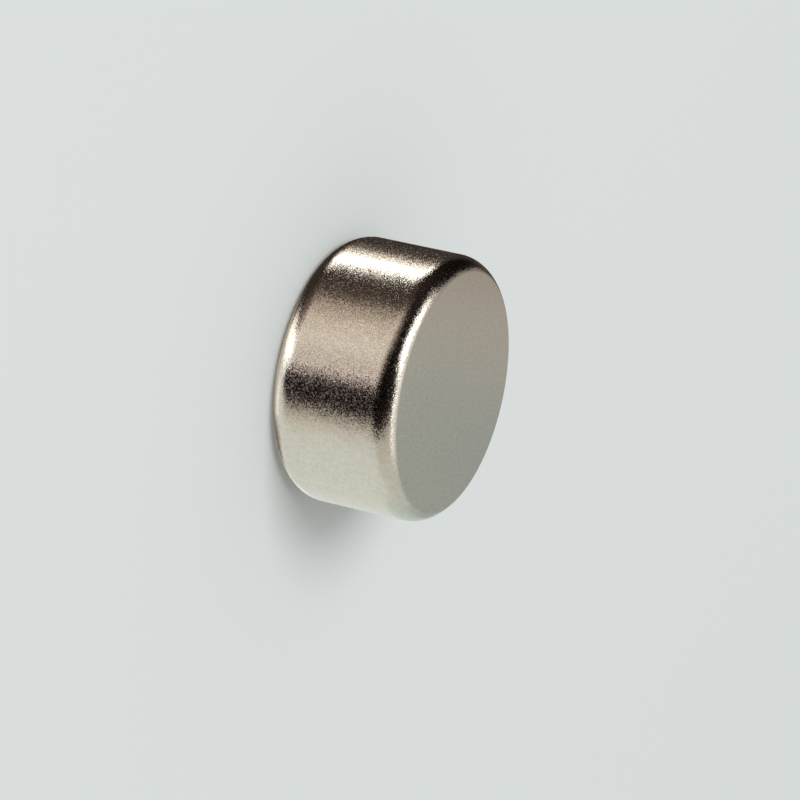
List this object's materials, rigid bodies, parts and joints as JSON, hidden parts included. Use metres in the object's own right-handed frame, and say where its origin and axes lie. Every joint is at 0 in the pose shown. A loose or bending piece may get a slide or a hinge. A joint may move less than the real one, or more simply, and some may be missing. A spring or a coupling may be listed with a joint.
{
  "type": "cylinder magnet",
  "caption": "Solid nickel-plated cylinder magnet with flat pole faces, a straight round side and tumbled edges.",
  "frame": {"origin": "middle of the lower pole face, on the surface that the magnet stands on", "axes": "+Z along the magnet's axis, out of the upper pole face; X and Y are free, because the magnet is round"},
  "size_m": [0.012, 0.012, 0.006],
  "materials": {
    "nickel_plate": "barrel nickel plating over a ground and tumbled blank: satin on the pole faces, finely grained on the side"
  },
  "bodies": {
    "root": {"magnet": "nickel_plate"}
  },
  "joints": []
}
